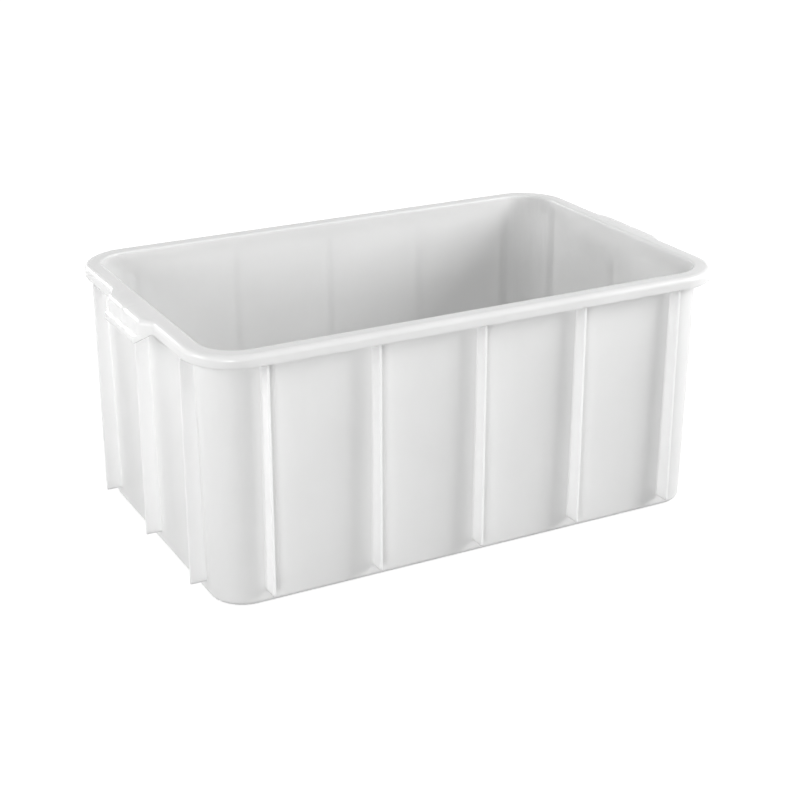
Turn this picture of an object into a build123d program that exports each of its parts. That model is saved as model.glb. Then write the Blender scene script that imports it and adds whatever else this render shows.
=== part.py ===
from build123d import *
import os
from math import atan2, degrees

# Stacking crate, moulded in one plastic: a drafted tub with a turned-down rim, upright ribs and hand grips.
# Millimetres, +Z up, X along the length. The origin is the centre of the base, on the floor.

# Rim: a flat lip round the mouth, with a rounded edge and a skirt turned down all round
rim_length = 645
rim_width = 410
crate_height = 290
rim_corner_radius = 60
lip_width = 19.5
lip_thickness = 3
skirt_depth = 13.5
rim_edge_radius = 6
mouth_edge_radius = 2.4
skirt_edge_chamfer = 0.8

# Tub: thin walls that lean in towards the base, and a floor with a shallow raised panel
wall_thickness = 2.8
wall_lean = 4
base_edge_radius = 6
floor_panel_margin = 30
floor_panel_radius = 22
floor_panel_rise = 2

# Ribs: thin fins outside the walls, cut off level above the base to stand on the rim of a crate below
rib_thickness = 3
rib_setback = 2
rib_foot_height = 16
rib_root_radius = 2.2
rib_tip_chamfer = 0.7
side_rib_pitch = 126
end_rib_pitch = 135

# Hand grips: the rim swells out in the middle of each end, as a hood over a finger pocket that is open below.
# Reaches go out from the rim's face, and depths down from its top. Each millimetre of reach makes the grip
# shorter at each end by the slant, and each millimetre of depth makes it longer by the spread.
grip_top_reach = 9
grip_top_drop = 2
grip_wall_reach = 10.5
grip_wall_depth = 18.5
finger_lip_reach = 14.5
finger_lip_depth = 22
grip_depth = 28
grip_end_depth = 16
grip_corner_radius = 3.2
grip_half_length = 63
grip_end_slant = 1.6
grip_end_spread = 0.12
grip_lip_overlap = 7.5

mouth_length = rim_length - 2 * lip_width
mouth_width = rim_width - 2 * lip_width
mouth_radius = rim_corner_radius - lip_width
wall_top = crate_height - lip_thickness
skirt_bottom = crate_height - skirt_depth
rim_face = rim_length / 2

# How far the walls' outer faces stand from the middle of the crate, at the base and under the lip
top_half_length = mouth_length / 2 + wall_thickness
top_half_width = mouth_width / 2 + wall_thickness
base_half_length = top_half_length - wall_lean
base_half_width = top_half_width - wall_lean
base_radius = mouth_radius + wall_thickness - wall_lean
draft_angle = degrees(atan2(wall_lean, wall_top))
grip_block_bottom = crate_height - grip_depth - lip_thickness
grip_stock_half_length = 1.5 * grip_half_length

os.makedirs("parts", exist_ok=True)


def drafted_block(wall):
    """The tub as one block, or the room inside it: leaning sides, and a panel pressed into the floor."""
    lean = wall * wall_lean / wall_top - wall
    with BuildPart() as block:
        with BuildSketch(Plane.XY.offset(wall)):
            RectangleRounded(2 * (base_half_length + lean), 2 * (base_half_width + lean), base_radius + lean)
        extrude(amount=wall_top - wall, taper=-draft_angle)
        base_edges = block.faces().sort_by(Axis.Z)[0].edges()
        if wall:
            chamfer(base_edges, base_edge_radius - wall)
        else:
            fillet(base_edges, base_edge_radius)
        with BuildSketch(Plane.XY.offset(wall)):
            RectangleRounded(
                2 * (base_half_length - floor_panel_margin),
                2 * (base_half_width - floor_panel_margin),
                floor_panel_radius,
            )
        extrude(amount=floor_panel_rise, taper=45, mode=Mode.SUBTRACT)
    return block.part


# The tub is its outer form less the room inside it, one wall thickness in from every face
with BuildPart() as tub:
    add(drafted_block(0))
    add(drafted_block(wall_thickness), mode=Mode.SUBTRACT)
tub.part.label = "tub"
export_step(tub.part, "parts/tub.step")


def grip_outline(height, wall):
    """Plan of the grip between its ends at one height, or of the pocket inside it."""
    inner = rim_face - grip_lip_overlap - 2 * wall
    outer = finger_lip_reach + lip_thickness
    half_length = grip_half_length + grip_end_spread * (crate_height - height)
    with BuildSketch(Plane.XY.offset(height)) as outline:
        Polygon(
            (inner, -half_length),
            (rim_face, -half_length),
            (rim_face + outer, grip_end_slant * outer - half_length),
            (rim_face + outer, half_length - grip_end_slant * outer),
            (rim_face, half_length),
            (inner, half_length),
            align=None,
        )
        if wall:
            offset(amount=-wall, kind=Kind.INTERSECTION)
    return outline.sketch


def grip_form(wall):
    """The grip as one block, or the pocket inside it: one section all along, cut off by slanting ends."""
    inner = rim_face - grip_lip_overlap - 2 * wall
    bottom = grip_block_bottom - 2 * wall
    with BuildPart() as form:
        with BuildSketch(Plane.XZ):
            with BuildLine():
                outside = FilletPolyline(
                    (inner, crate_height),
                    (rim_face - rim_edge_radius, crate_height),
                    (rim_face + grip_top_reach, crate_height - grip_top_drop),
                    (rim_face + grip_wall_reach, crate_height - grip_wall_depth),
                    (rim_face + finger_lip_reach, crate_height - finger_lip_depth),
                    (rim_face + finger_lip_reach, bottom),
                    radius=grip_corner_radius,
                )
                Polyline(outside @ 1, (inner, bottom), outside @ 0)
            make_face()
            if wall:
                offset(amount=-wall)
        extrude(amount=grip_stock_half_length, both=True)
        loft([grip_outline(bottom, wall), grip_outline(crate_height, wall)], ruled=True, mode=Mode.INTERSECT)
    return form.part


# The rim is a flat frame with its outer edge rounded, hollow beneath, and open where the grips join it
grip_block = grip_form(0)
with BuildPart() as rim:
    with BuildSketch(Plane.XY.offset(skirt_bottom)):
        RectangleRounded(rim_length, rim_width, rim_corner_radius)
    extrude(amount=skirt_depth)
    fillet(rim.faces().sort_by(Axis.Z)[-1].edges(), rim_edge_radius)
    with BuildSketch(Plane.XY.offset(skirt_bottom)):
        RectangleRounded(
            rim_length - 2 * lip_thickness,
            rim_width - 2 * lip_thickness,
            rim_corner_radius - lip_thickness,
        )
    extrude(amount=skirt_depth - lip_thickness, mode=Mode.SUBTRACT)
    chamfer(rim.faces().filter_by(Axis.Z).sort_by(Axis.Z)[1].edges(), rim_edge_radius - lip_thickness)
    chamfer(rim.edges().group_by(Axis.Z)[0], skirt_edge_chamfer)
    with BuildSketch(Plane.XY.offset(skirt_bottom)):
        RectangleRounded(mouth_length, mouth_width, mouth_radius)
    extrude(amount=skirt_depth, mode=Mode.SUBTRACT)
    fillet(rim.faces().sort_by(Axis.Z)[-1].inner_wires()[0].edges(), mouth_edge_radius)
    add(grip_block, mode=Mode.SUBTRACT)
    mirror(grip_block, about=Plane.YZ, mode=Mode.SUBTRACT)
rim.part.label = "rim"
export_step(rim.part, "parts/rim.step")

# The grip is its block hollowed out from below. Its lower edge slopes up to the skirt, and behind the skirt
# only its top plate is left.
with BuildPart() as right_handle:
    add(grip_block)
    add(grip_form(lip_thickness), mode=Mode.SUBTRACT)
    with BuildSketch(Plane.XZ) as below_grip:
        Polygon(
            (rim_face - grip_lip_overlap - 1, wall_top),
            (rim_face - lip_thickness, wall_top),
            (rim_face - lip_thickness, crate_height - grip_end_depth),
            (rim_face + finger_lip_reach, crate_height - grip_depth),
            (rim_face + finger_lip_reach + 1, grip_block_bottom - 1),
            (rim_face - grip_lip_overlap - 1, grip_block_bottom - 1),
            align=None,
        )
    extrude(amount=grip_stock_half_length, both=True, mode=Mode.SUBTRACT)
right_handle.part.label = "right_handle"
export_step(right_handle.part, "parts/right_handle.step")

with BuildPart() as left_handle:
    mirror(right_handle.part, about=Plane.YZ)
left_handle.part.label = "left_handle"
export_step(left_handle.part, "parts/left_handle.step")


def rib_outline(plane, wall_face, tip):
    """Plan of a rib, outwards along the plane's X: a thin fin with a flared root inside the wall."""
    root_width = rib_thickness + 3 * rib_root_radius
    with BuildSketch(plane) as outline:
        with Locations((wall_face, 0)):
            Rectangle(wall_thickness / 2, root_width, align=(Align.MAX, Align.CENTER))
            Rectangle(tip - wall_face, rib_thickness, align=(Align.MIN, Align.CENTER))
        at_wall = outline.vertices().group_by(Axis.X)[1]
        fillet(at_wall.filter_by_position(Axis.Y, -rib_thickness, rib_thickness), rib_root_radius)
        chamfer(outline.vertices().group_by(Axis.X)[-1], rib_tip_chamfer)
    return outline.sketch


def make_rib(label, outward, along, base_half, top_half, rim_half):
    """One rib, drawn from its foot to the lip between two plans, and trimmed to the pieces that it meets."""
    tip = rim_half - rib_setback
    foot_half = base_half + (top_half - base_half) * rib_foot_height / wall_top
    place = along * Vector(-outward.Y, outward.X, 0)
    with BuildPart() as rib:
        foot_plane = Plane(place + Vector(0, 0, rib_foot_height), x_dir=outward, z_dir=(0, 0, 1))
        top_plane = Plane(place + Vector(0, 0, wall_top), x_dir=outward, z_dir=(0, 0, 1))
        loft([rib_outline(foot_plane, foot_half, tip), rib_outline(top_plane, top_half, tip)], ruled=True)
        add([tub.part, rim.part, left_handle.part, right_handle.part], mode=Mode.SUBTRACT)
    rib.part.label = label
    export_step(rib.part, f"parts/{label}.step")


# Five ribs on each long side, numbered along +X
for side, outward in (("front", Vector(0, -1, 0)), ("back", Vector(0, 1, 0))):
    for number in range(1, 6):
        along = (number - 3) * side_rib_pitch * -outward.Y
        make_rib(f"{side}_rib_{number}", outward, along, base_half_width, top_half_width, rim_width / 2)

# Three ribs on each end, numbered along +Y. The middle one runs up under the grip.
for side, outward in (("left", Vector(-1, 0, 0)), ("right", Vector(1, 0, 0))):
    for number in range(1, 4):
        along = (number - 2) * end_rib_pitch * outward.X
        make_rib(f"{side}_rib_{number}", outward, along, base_half_length, top_half_length, rim_length / 2)
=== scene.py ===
import bmesh
import bpy
from math import cos, pi, radians, sin
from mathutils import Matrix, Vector


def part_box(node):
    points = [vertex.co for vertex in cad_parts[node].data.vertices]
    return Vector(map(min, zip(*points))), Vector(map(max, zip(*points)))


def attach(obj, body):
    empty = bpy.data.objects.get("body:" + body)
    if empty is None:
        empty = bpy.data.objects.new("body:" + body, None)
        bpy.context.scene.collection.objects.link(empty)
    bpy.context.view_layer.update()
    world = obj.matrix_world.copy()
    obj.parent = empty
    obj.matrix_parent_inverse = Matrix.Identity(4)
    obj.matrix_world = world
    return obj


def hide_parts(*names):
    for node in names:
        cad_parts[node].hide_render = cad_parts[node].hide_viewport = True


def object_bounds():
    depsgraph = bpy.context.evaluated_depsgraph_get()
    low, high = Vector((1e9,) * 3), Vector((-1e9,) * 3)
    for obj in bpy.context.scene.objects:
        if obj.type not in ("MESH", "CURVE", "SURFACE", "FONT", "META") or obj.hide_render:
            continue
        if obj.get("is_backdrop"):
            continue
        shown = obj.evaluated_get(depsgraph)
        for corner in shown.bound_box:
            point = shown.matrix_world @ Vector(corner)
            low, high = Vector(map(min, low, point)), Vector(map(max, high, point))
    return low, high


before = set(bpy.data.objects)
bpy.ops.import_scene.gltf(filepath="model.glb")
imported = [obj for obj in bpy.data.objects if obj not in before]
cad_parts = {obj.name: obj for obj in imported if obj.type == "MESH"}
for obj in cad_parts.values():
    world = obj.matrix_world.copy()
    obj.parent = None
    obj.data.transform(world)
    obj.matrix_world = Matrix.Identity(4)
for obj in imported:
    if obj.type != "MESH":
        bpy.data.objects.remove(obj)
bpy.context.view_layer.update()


# The tub is the crate's open box, one thin shell of milky white polyethylene. It is injection moulded, so
# its walls lean out towards the mouth for release from the mould, its corners and base edge are rounded, and
# a shallow panel is pressed up into the floor to stiffen it.
tub_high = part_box("tub")[1]
wall_thickness = 0.0028
wall_lean = 0.004
wall_corner_radius = 0.0433
base_edge_radius = 0.006
floor_panel_margin = 0.03
floor_panel_rise = 0.002
joint_overlap = 0.0005
level_enough = 0.999


def choose(kind, test):
    """In edit mode, selects the vertices, edges or faces that pass the test, and nothing else."""
    bpy.ops.mesh.select_mode(type=kind)
    bpy.ops.mesh.select_all(action="DESELECT")
    form = bmesh.from_edit_mesh(bpy.context.edit_object.data)
    for item in {"VERT": form.verts, "EDGE": form.edges, "FACE": form.faces}[kind]:
        if test(item):
            item.select_set(True)
    form.select_flush_mode()
    bmesh.update_edit_mesh(bpy.context.edit_object.data)


def middle(edge):
    """The middle of an edge."""
    return (edge.verts[0].co + edge.verts[1].co) / 2


def thicken(piece, thickness):
    """Gives an open sheet its wall, inwards from its faces."""
    wall = piece.modifiers.new("wall", "SOLIDIFY")
    wall.thickness = thickness
    wall.offset = -1
    wall.use_even_offset = True
    bpy.ops.object.modifier_apply(modifier=wall.name)


def new_sheet(name, centre, size):
    """A flat rectangle at its size and place, open for shaping."""
    bpy.ops.object.select_all(action="DESELECT")
    bpy.ops.mesh.primitive_plane_add(size=1, location=centre)
    piece = bpy.context.object
    piece.name = name
    piece.scale = (size[0], size[1], 1)
    bpy.ops.object.transform_apply(location=True, rotation=True, scale=True)
    bpy.ops.object.mode_set(mode="EDIT")
    return piece


def moulding_texture():
    """Node group: the clouding, flow streaks and fine skin that moulded milky plastic has."""
    upright_streaks = (70, 70, 5)
    group = bpy.data.node_groups.new("moulding_texture", "ShaderNodeTree")
    for name, default in (("Cloud Size", 12.0), ("Streak", 0.5), ("Skin Size", 1400.0)):
        socket = group.interface.new_socket(name, in_out="INPUT", socket_type="NodeSocketFloat")
        socket.default_value = default
    for name in ("Clouding", "Gloss Change", "Skin"):
        group.interface.new_socket(name, in_out="OUTPUT", socket_type="NodeSocketFloat")
    nodes, links = group.nodes, group.links
    inlet = nodes.new("NodeGroupInput")
    outlet = nodes.new("NodeGroupOutput")
    place = nodes.new("ShaderNodeTexCoord")
    cloud = nodes.new("ShaderNodeTexNoise")
    cloud.inputs["Detail"].default_value = 4
    links.new(place.outputs["Object"], cloud.inputs["Vector"])
    links.new(inlet.outputs["Cloud Size"], cloud.inputs["Scale"])
    stretch = nodes.new("ShaderNodeMapping")
    stretch.inputs["Scale"].default_value = upright_streaks
    links.new(place.outputs["Object"], stretch.inputs["Vector"])
    streak = nodes.new("ShaderNodeTexNoise")
    streak.inputs["Scale"].default_value = 1
    streak.inputs["Detail"].default_value = 3
    links.new(stretch.outputs["Vector"], streak.inputs["Vector"])
    mix = nodes.new("ShaderNodeMix")
    links.new(inlet.outputs["Streak"], mix.inputs["Factor"])
    links.new(cloud.outputs["Fac"], mix.inputs["A"])
    links.new(streak.outputs["Fac"], mix.inputs["B"])
    skin = nodes.new("ShaderNodeTexNoise")
    skin.inputs["Detail"].default_value = 2
    links.new(place.outputs["Object"], skin.inputs["Vector"])
    links.new(inlet.outputs["Skin Size"], skin.inputs["Scale"])
    links.new(cloud.outputs["Fac"], outlet.inputs["Clouding"])
    links.new(mix.outputs["Result"], outlet.inputs["Gloss Change"])
    links.new(skin.outputs["Fac"], outlet.inputs["Skin"])
    return group


moulded = moulding_texture()


def milky_plastic(name, whiteness, soak, cloud_size, streak, skin_size, smoothest, roughest, skin_depth):
    """Milky polyethylene: a near white that light soaks into, under a moulded skin of a given gloss."""
    noise_low, noise_high = 0.3, 0.7
    clouding = 0.015
    green_tint, blue_tint = 0.001, -0.002
    material = bpy.data.materials.new(name)
    material.use_nodes = True
    nodes, links = material.node_tree.nodes, material.node_tree.links
    shader = nodes["Principled BSDF"]
    shader.inputs["IOR"].default_value = 1.5
    shader.inputs["Subsurface Weight"].default_value = 1
    shader.inputs["Subsurface Radius"].default_value = (1, 1, 1)
    shader.inputs["Subsurface Scale"].default_value = soak
    texture = nodes.new("ShaderNodeGroup")
    texture.node_tree = moulded
    texture.inputs["Cloud Size"].default_value = cloud_size
    texture.inputs["Streak"].default_value = streak
    texture.inputs["Skin Size"].default_value = skin_size
    colour = nodes.new("ShaderNodeValToRGB")
    shades = ((noise_low, whiteness - clouding), (noise_high, whiteness + clouding))
    for element, (position, shade) in zip(colour.color_ramp.elements, shades):
        element.position = position
        element.color = (shade, shade + green_tint, shade + blue_tint, 1)
    links.new(texture.outputs["Clouding"], colour.inputs["Fac"])
    links.new(colour.outputs["Color"], shader.inputs["Base Color"])
    gloss = nodes.new("ShaderNodeMapRange")
    gloss.inputs["From Min"].default_value = noise_low
    gloss.inputs["From Max"].default_value = noise_high
    gloss.inputs["To Min"].default_value = smoothest
    gloss.inputs["To Max"].default_value = roughest
    links.new(texture.outputs["Gloss Change"], gloss.inputs["Value"])
    links.new(gloss.outputs["Result"], shader.inputs["Roughness"])
    bump = nodes.new("ShaderNodeBump")
    bump.inputs["Strength"].default_value = 1
    bump.inputs["Distance"].default_value = skin_depth
    links.new(texture.outputs["Skin"], bump.inputs["Height"])
    links.new(bump.outputs["Normal"], shader.inputs["Normal"])
    return material


satin_wall = milky_plastic(
    "satin_wall",
    whiteness=0.83,
    soak=0.0042,
    cloud_size=9,
    streak=0.6,
    skin_size=1500,
    smoothest=0.34,
    roughest=0.44,
    skin_depth=0.00002,
)

tub = new_sheet("crate_moulding", (0, 0, tub_high.z + joint_overlap), 2 * tub_high)
tub.data.materials.append(satin_wall)
choose("VERT", lambda corner: True)
bpy.ops.mesh.bevel(offset=wall_corner_radius, segments=14, affect="VERTICES")
choose("FACE", lambda face: True)
bpy.ops.mesh.inset(thickness=wall_lean, depth=-tub_high.z - joint_overlap)
choose("EDGE", lambda edge: middle(edge).z < wall_thickness)
bpy.ops.mesh.bevel(offset=base_edge_radius, segments=6)
choose("FACE", lambda face: abs(face.normal.z) > level_enough)
bpy.ops.mesh.inset(thickness=floor_panel_margin - base_edge_radius)
bpy.ops.mesh.inset(thickness=floor_panel_rise, depth=floor_panel_rise)
bpy.ops.mesh.select_all(action="SELECT")
bpy.ops.mesh.flip_normals()
bpy.ops.object.mode_set(mode="OBJECT")
thicken(tub, wall_thickness)


# The sixteen ribs are thin fins of the same plastic, moulded on the outside of the walls, five on each side
# and three on each end. They carry the rim, and their feet are cut off level above the base, to stand on the
# rim of a crate below. In the photo they look whiter than the walls, so their plastic is set whiter here.
# That
# whiter colour is painted light: a painted glow for the light that shines through the thin fins.
rim_low, rim_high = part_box("rim")
rib_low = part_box("front_rib_3")[0]
rib_thickness = 0.003
rib_root_radius = 0.0022
rib_tip_radius = 0.0009
rib_tip = rib_low.y
rib_top = tub_high.z + joint_overlap / 2
root_sink = 0.0002
wall_at_top = root_sink - tub_high.y
wall_at_foot = wall_at_top + wall_lean * (1 - rib_low.z / tub_high.z)
root_width = rib_thickness + 3 * rib_root_radius
root_depth = wall_thickness / 2
touching = 0.00001

# Painted glow: the fins' plastic is whiter than the walls' (0.98 against 0.83) to stand for light through the
# thin fins
fin_plastic_painted_glow = milky_plastic(
    "fin_plastic_painted_glow",
    whiteness=0.98,
    soak=0.009,
    cloud_size=9,
    streak=0.6,
    skin_size=1500,
    smoothest=0.34,
    roughest=0.44,
    skin_depth=0.00002,
)


def draw_out(way):
    """Extrudes what is chosen along a way."""
    bpy.ops.mesh.extrude_region_move(TRANSFORM_OT_translate={"value": way})


def at_root(point):
    """True on the two points where the fin leaves the wall."""
    beside_fin = abs(abs(point.co.x) - rib_thickness / 2) < touching
    return beside_fin and abs(point.co.y - wall_at_foot) < touching


def at_wall_top(point):
    """True on the points of the root at its upper end, where the wall has leant out."""
    return point.co.z > rib_top - touching and point.co.y > wall_at_foot - 2 * rib_root_radius


rib = new_sheet("front_rib", (0, wall_at_foot + root_depth / 2, rib_low.z), (root_width, root_depth))
for edge_of_fin in (rib_thickness / 2, -rib_thickness / 2):
    bpy.ops.mesh.select_all(action="SELECT")
    bpy.ops.mesh.bisect(plane_co=(edge_of_fin, 0, 0), plane_no=(1, 0, 0))
choose("EDGE", lambda edge: abs(middle(edge).x) < touching and middle(edge).y < wall_at_foot + touching)
draw_out((0, rib_tip - wall_at_foot, 0))
bpy.ops.mesh.select_mode(type="FACE")
bpy.ops.mesh.select_all(action="SELECT")
bpy.ops.mesh.dissolve_faces()
choose("VERT", at_root)
bpy.ops.mesh.bevel(offset=rib_root_radius, segments=4, affect="VERTICES")
choose("VERT", lambda point: point.co.y < rib_tip + touching)
bpy.ops.mesh.bevel(offset=rib_tip_radius, segments=3, affect="VERTICES")
choose("FACE", lambda face: True)
draw_out((0, 0, rib_top - rib_low.z))
choose("VERT", at_wall_top)
bpy.ops.transform.translate(value=(0, wall_at_top - wall_at_foot, 0))
bpy.ops.mesh.select_all(action="SELECT")
bpy.ops.mesh.normals_make_consistent(inside=False)
bpy.ops.object.mode_set(mode="OBJECT")

side_turns = {"front": 0, "right": pi / 2, "back": pi, "left": -pi / 2}
copies = []
for node in sorted(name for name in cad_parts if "_rib_" in name):
    side = node.split("_")[0]
    low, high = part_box(node)
    bpy.ops.object.select_all(action="DESELECT")
    rib.select_set(True)
    bpy.context.view_layer.objects.active = rib
    bpy.ops.object.duplicate()
    fin = bpy.context.object
    fin.rotation_euler.z = side_turns[side]
    if side in ("front", "back"):
        fin.location.x = (low.x + high.x) / 2
    else:
        fin.location.x = sin(side_turns[side]) * (rim_high.x - rim_high.y)
        fin.location.y = (low.y + high.y) / 2
    bpy.ops.object.transform_apply(location=True, rotation=True, scale=True)
    copies.append(fin)
bpy.data.objects.remove(rib)
for fin in copies:
    fin.select_set(True)
bpy.ops.object.join()
fins = bpy.context.object
fins.data.materials.append(fin_plastic_painted_glow)


def mould_on(piece):
    """Joins a finished piece to the tub, so that plastic and light run through without a seam."""
    bpy.ops.object.select_all(action="DESELECT")
    tub.select_set(True)
    bpy.context.view_layer.objects.active = tub
    joint = tub.modifiers.new("joint", "BOOLEAN")
    joint.operation = "UNION"
    joint.material_mode = "TRANSFER"
    joint.object = piece
    bpy.ops.object.modifier_apply(modifier=joint.name)
    bpy.data.objects.remove(piece)


mould_on(fins)


# The rim is the flat lip round the mouth, with its outer edge rolled over into a skirt. In the middle of each
# end it swells out into a hand grip, a hood over a finger pocket that is open below, with a flared lip and
# three soft swells for the fingers. Rim and grips are one thin wall, moulded with the tub, hollow beneath.
grip_low, grip_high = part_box("right_handle")
rim_face = rim_high.x
rim_top = rim_high.z
lip_width = 0.0195
lip_thickness = 0.003
rim_corner_radius = 0.06
rim_edge_radius = 0.006
rim_edge_turn = 1.2
mouth_edge_radius = 0.0024
mouth_edge_turn = 1
mouth_half = rim_high - Vector((lip_width, lip_width, 0))
grip_root = 0.0645
grip_shoulder = 0.048
grip_turn_radius = 0.004
grip_top_reach = 0.009
grip_top_drop = 0.002
grip_wall_reach = 0.0105
grip_wall_depth = 0.0185
grip_wall_foot = rim_top - grip_wall_depth
finger_lip_flare = grip_high.x - rim_face - grip_wall_reach
finger_lip_slope = 0.0035
finger_lip_drop = grip_wall_foot - finger_lip_slope - grip_low.z
finger_lip_share = 0.92
finger_lip_radius = 0.0018
finger_lip_face = grip_high.x - 0.001
swell_spacing = 0.028
swell_depth = 0.0009
sink_depth = 0.0006
cuts_per_swell = 10
cuts_each_way = 14
seam_gap = 0.000001
smooth_turn = radians(40)

polished_rim = milky_plastic(
    "polished_rim",
    whiteness=0.83,
    soak=0.0042,
    cloud_size=14,
    streak=0.3,
    skin_size=900,
    smoothest=0.2,
    roughest=0.26,
    skin_depth=0.00001,
)


def on_outline(edge):
    """True on the outer edges of the flat lip, whose faces lie towards the middle of the crate."""
    inward = edge.link_faces[0].calc_center_median() - middle(edge)
    return edge.is_boundary and inward.dot(middle(edge)) < 0


def on_end(face, side, inner, half_length):
    """True on the faces of one end that lie beyond a place and within a length of its middle."""
    centre = face.calc_center_median()
    return centre.x * side > inner and abs(centre.y) < half_length


def along_end(edge):
    """True where an edge runs along the end of the crate."""
    way = edge.verts[1].co - edge.verts[0].co
    return abs(way.y) > 0.9 * way.length


def hood_edge(edge, side):
    """True on the stretch of the outline between the shoulders of the grip on one side."""
    place = middle(edge)
    return along_end(edge) and abs(place.y) < touching and place.x * side > rim_face - touching


def gap_corner(point, side, end):
    """True on the corners of the gap between one end of the finger lip and the foot of the skirt."""
    outward, along = point.co.x * side, point.co.y * end
    beyond_wall = outward > rim_face + grip_wall_reach - touching and along > 0
    skirt_foot = abs(along - grip_root) < touching and point.co.z < rim_low.z + touching
    return outward > mouth_half.x and (beyond_wall or skirt_foot)


def across_rim(edge):
    """True where the outline turns outwards to a grip, on the edges that cross the rolled edge."""
    along = abs(middle(edge).y)
    at_turn = abs(along - grip_root) < touching or abs(along - grip_shoulder) < touching
    return at_turn and not edge.is_boundary and abs(middle(edge).x) > grip_low.x


def finger_lip_edge(edge):
    """True on the foot of the hood's wall and on the edge of its finger lip."""
    place = middle(edge)
    below = place.z < grip_wall_foot + 10 * touching
    beyond = abs(place.x) > rim_face + grip_wall_reach - 10 * touching
    return below and beyond and along_end(edge) and not edge.is_boundary


def hood_middle(point, side):
    """True on the middle of the hood's upper edge."""
    beyond = point.co.x * side > rim_face + grip_top_reach / 2
    return abs(point.co.y) < touching and beyond and point.co.z > rim_top - grip_wall_depth / 2


def mouth_edge(edge):
    """True on the sharp upper edge round the mouth."""
    place = middle(edge)
    inside = abs(place.x) < mouth_half.x + 10 * touching and abs(place.y) < mouth_half.y + 10 * touching
    return inside and place.z > rim_top - touching and edge.calc_face_angle(0) > mouth_edge_turn


def press_softly(way, reach):
    """Moves the chosen points, and draws their neighbours along."""
    bpy.ops.transform.translate(
        value=way,
        use_proportional_edit=True,
        proportional_edit_falloff="SMOOTH",
        proportional_size=reach,
    )


rim = new_sheet("rim_and_grips", (0, 0, rim_top), 2 * rim_high)
choose("VERT", lambda corner: True)
bpy.ops.mesh.bevel(offset=rim_corner_radius, segments=18, affect="VERTICES")
choose("FACE", lambda face: True)
bpy.ops.mesh.inset(thickness=lip_width)
bpy.ops.mesh.delete(type="FACE")
choose("EDGE", on_outline)
draw_out((0, 0, rim_low.z - rim_top))
bpy.ops.mesh.select_all(action="SELECT")
bpy.ops.mesh.normals_make_consistent(inside=False)

# The hood is drawn out of the rim's outline on each end, and the lip out of the hood
for side in (1, -1):
    for place in (grip_root, grip_shoulder, -grip_shoulder, -grip_root):
        choose("FACE", lambda face: on_end(face, side, mouth_half.x, rim_high.y))
        bpy.ops.mesh.bisect(plane_co=(0, place, 0), plane_no=(0, 1, 0))
    choose("FACE", lambda face: on_end(face, side, mouth_half.x, grip_root))
    bpy.ops.mesh.bisect(plane_co=(side * grip_low.x, 0, 0), plane_no=(1, 0, 0))
for side in (1, -1):
    choose("EDGE", lambda edge: hood_edge(edge, side) and middle(edge).z > rim_top - touching)
    bpy.ops.transform.translate(value=(side * grip_top_reach, 0, -grip_top_drop))
    choose("EDGE", lambda edge: hood_edge(edge, side) and middle(edge).z < rim_low.z + touching)
    bpy.ops.transform.translate(value=(side * grip_wall_reach, 0, grip_wall_foot - rim_low.z))
    draw_out((side * finger_lip_flare, 0, -finger_lip_slope))
    bpy.ops.transform.resize(value=(1, finger_lip_share, 1), center_override=(0, 0, 0))
    draw_out((0, 0, -finger_lip_drop))
    for end in (1, -1):
        choose("VERT", lambda point: gap_corner(point, side, end))
        bpy.ops.mesh.edge_face_add()
bpy.ops.mesh.select_all(action="SELECT")
bpy.ops.mesh.normals_make_consistent(inside=False)
choose("EDGE", across_rim)
bpy.ops.mesh.bevel(offset=grip_turn_radius, segments=3)
choose("EDGE", lambda edge: not edge.is_boundary and edge.calc_face_angle(0) > rim_edge_turn)
bpy.ops.mesh.bevel(offset=rim_edge_radius, segments=8)
choose("EDGE", finger_lip_edge)
bpy.ops.mesh.bevel(offset=finger_lip_radius, segments=4)

# The swells for the fingers and the sink in the hood's edge are pressed into finer cuts
for side in (1, -1):
    for step in range(-cuts_each_way, cuts_each_way + 1):
        choose("FACE", lambda face: on_end(face, side, grip_low.x, grip_shoulder))
        bpy.ops.mesh.bisect(plane_co=(0, step * swell_spacing / cuts_per_swell, 0), plane_no=(0, 1, 0))
    for valley in (swell_spacing / 2, -swell_spacing / 2):
        choose(
            "VERT",
            lambda point: abs(point.co.y - valley) < touching and point.co.x * side > finger_lip_face,
        )
        press_softly((-side * swell_depth, 0, 0), swell_spacing / 2)
    choose("VERT", lambda point: hood_middle(point, side))
    press_softly((-side * sink_depth, 0, -sink_depth), swell_spacing / 4)
bpy.ops.object.mode_set(mode="OBJECT")
thicken(rim, lip_thickness)
bpy.ops.object.mode_set(mode="EDIT")
choose("EDGE", mouth_edge)
bpy.ops.mesh.bevel(offset=mouth_edge_radius, segments=5)
bpy.ops.object.mode_set(mode="OBJECT")
rim.data.materials.append(polished_rim)

# The rim closes the moulding, which stands for every node of the crate
mould_on(rim)
bpy.ops.object.mode_set(mode="EDIT")
bpy.ops.mesh.select_all(action="SELECT")
bpy.ops.mesh.remove_doubles(threshold=seam_gap)
bpy.ops.object.mode_set(mode="OBJECT")
bpy.ops.object.shade_smooth_by_angle(angle=smooth_turn)
flats = tub.modifiers.new("flats", "WEIGHTED_NORMAL")
flats.keep_sharp = True
bpy.ops.object.modifier_apply(modifier=flats.name)
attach(tub, "root")
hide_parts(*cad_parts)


# The floor is a plain matt sheet under the crate. It is grey to the lamps, so that it throws little light
# back on the walls, and it looks white with the crate's soft shadow kept.
floor_size = 12
floor_gap = 0.0003
floor_grey = 0.25
shadow_reach = 0.5
lift_near = 0.85
lift_far = 1

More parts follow.
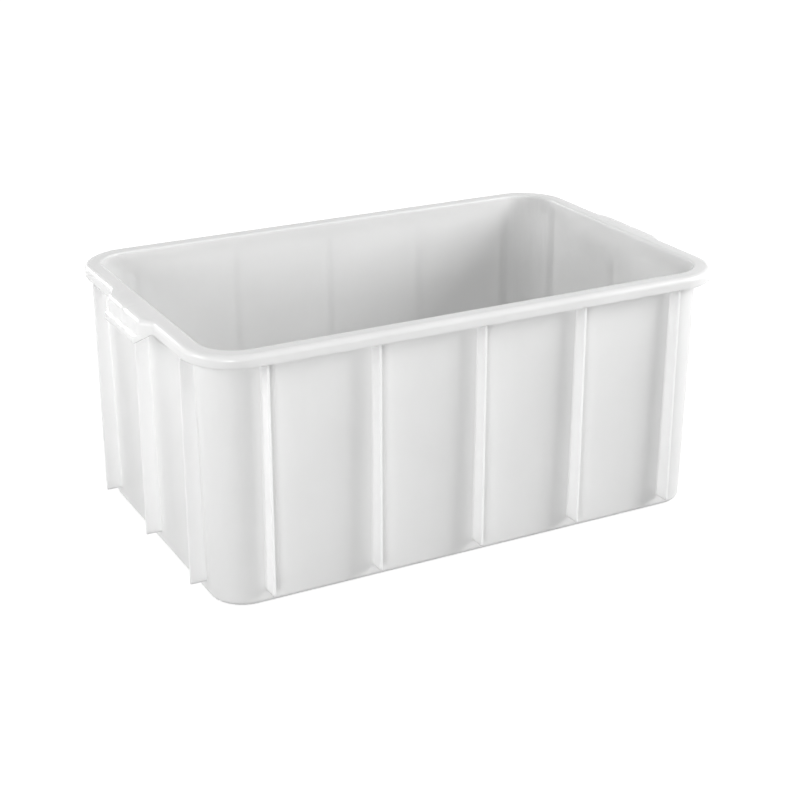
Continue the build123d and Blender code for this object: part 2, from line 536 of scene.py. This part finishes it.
bpy.ops.object.select_all(action="DESELECT")
bpy.ops.mesh.primitive_plane_add(size=floor_size, location=(0, 0, -floor_gap))
floor = bpy.context.object
floor.name = "studio_floor"
floor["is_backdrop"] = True


def seen_directly(nodes, links):
    """1 where the camera, a reflection or a see-through surface looks at the surface, else 0."""
    rays = nodes.new("ShaderNodeLightPath")
    seen = rays.outputs["Is Camera Ray"]
    for kind in ("Is Glossy Ray", "Is Transmission Ray"):
        either = nodes.new("ShaderNodeMath")
        either.operation = "MAXIMUM"
        links.new(seen, either.inputs[0])
        links.new(rays.outputs[kind], either.inputs[1])
        seen = either.outputs["Value"]
    return seen


white_sheet = bpy.data.materials.new("white_sheet")
white_sheet.use_nodes = True
nodes, links = white_sheet.node_tree.nodes, white_sheet.node_tree.links
nodes.clear()
output = nodes.new("ShaderNodeOutputMaterial")
matt = nodes.new("ShaderNodeBsdfDiffuse")
matt.inputs["Color"].default_value = (floor_grey, floor_grey, floor_grey, 1)
place = nodes.new("ShaderNodeTexCoord")
distance = nodes.new("ShaderNodeVectorMath")
distance.operation = "LENGTH"
links.new(place.outputs["Object"], distance.inputs[0])
whiteness = nodes.new("ShaderNodeMapRange")
whiteness.inputs["From Min"].default_value = shadow_reach
whiteness.inputs["From Max"].default_value = 3 * shadow_reach
whiteness.inputs["To Min"].default_value = lift_near
whiteness.inputs["To Max"].default_value = lift_far
links.new(distance.outputs["Value"], whiteness.inputs["Value"])
lift = nodes.new("ShaderNodeMath")
lift.operation = "MULTIPLY"
links.new(seen_directly(nodes, links), lift.inputs[0])
links.new(whiteness.outputs["Result"], lift.inputs[1])
white = nodes.new("ShaderNodeEmission")
links.new(lift.outputs["Value"], white.inputs["Strength"])
both = nodes.new("ShaderNodeAddShader")
links.new(matt.outputs["BSDF"], both.inputs[0])
links.new(white.outputs["Emission"], both.inputs[1])
links.new(both.outputs["Shader"], output.inputs["Surface"])
floor.data.materials.append(white_sheet)


# The light is a white room with four soft lamps: a large one from the right front, one low from the left
# front, a small one near the left grip, and one from behind that shines through the walls and along the rim.
room_light = 0.41

room = bpy.data.worlds.new("white_room")
bpy.context.scene.world = room
room.use_nodes = True
nodes, links = room.node_tree.nodes, room.node_tree.links
nodes.clear()
output = nodes.new("ShaderNodeOutputWorld")
backdrop = nodes.new("ShaderNodeBackground")
backdrop.inputs["Strength"].default_value = 1
soft = nodes.new("ShaderNodeBackground")
soft.inputs["Strength"].default_value = room_light
blend = nodes.new("ShaderNodeMixShader")
for background in (backdrop, soft):
    background.inputs["Color"].default_value = (1, 1, 1, 1)
links.new(seen_directly(nodes, links), blend.inputs["Fac"])
links.new(soft.outputs["Background"], blend.inputs[1])
links.new(backdrop.outputs["Background"], blend.inputs[2])
links.new(blend.outputs["Shader"], output.inputs["Surface"])


def soft_lamp(name, azimuth, elevation, distance, size, power):
    """A square soft lamp aimed at the middle of the crate. Azimuth 0 is in front, positive to the right."""
    aim = Vector((0, 0, tub_high.z / 2))
    across, up = radians(azimuth), radians(elevation)
    away = Vector((sin(across) * cos(up), -cos(across) * cos(up), sin(up)))
    bpy.ops.object.light_add(type="AREA", location=aim + distance * away)
    lamp = bpy.context.object
    lamp.name = name
    lamp.rotation_euler = away.to_track_quat("Z", "Y").to_euler()
    lamp.data.shape = "SQUARE"
    lamp.data.size = size
    lamp.data.energy = power


soft_lamp("right_lamp", azimuth=62, elevation=24, distance=2.4, size=1.2, power=42)
soft_lamp("front_lamp", azimuth=-38, elevation=5.5, distance=2.4, size=0.74, power=20)
soft_lamp("left_lamp", azimuth=-88, elevation=20, distance=1.1, size=0.45, power=2.5)
soft_lamp("back_lamp", azimuth=-158, elevation=14, distance=2.4, size=0.35, power=15)


# The camera stands where the photographer stood, to the left of the front and above the mouth. Its place and
# lens were found from the straight edges of the crate in the photo.
camera_place = (-0.8765, -1.65928, 0.87644)
camera_azimuth = radians(-27.951)
camera_elevation = radians(21.99)
camera_lens = 76.553
camera_film_width = 36

bpy.ops.object.camera_add(location=camera_place, rotation=(pi / 2 - camera_elevation, 0, camera_azimuth))
camera = bpy.context.object
camera.data.sensor_width = camera_film_width
camera.data.lens = camera_lens
bpy.context.scene.camera = camera
bpy.context.scene.view_settings.view_transform = "Standard"

low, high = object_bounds()
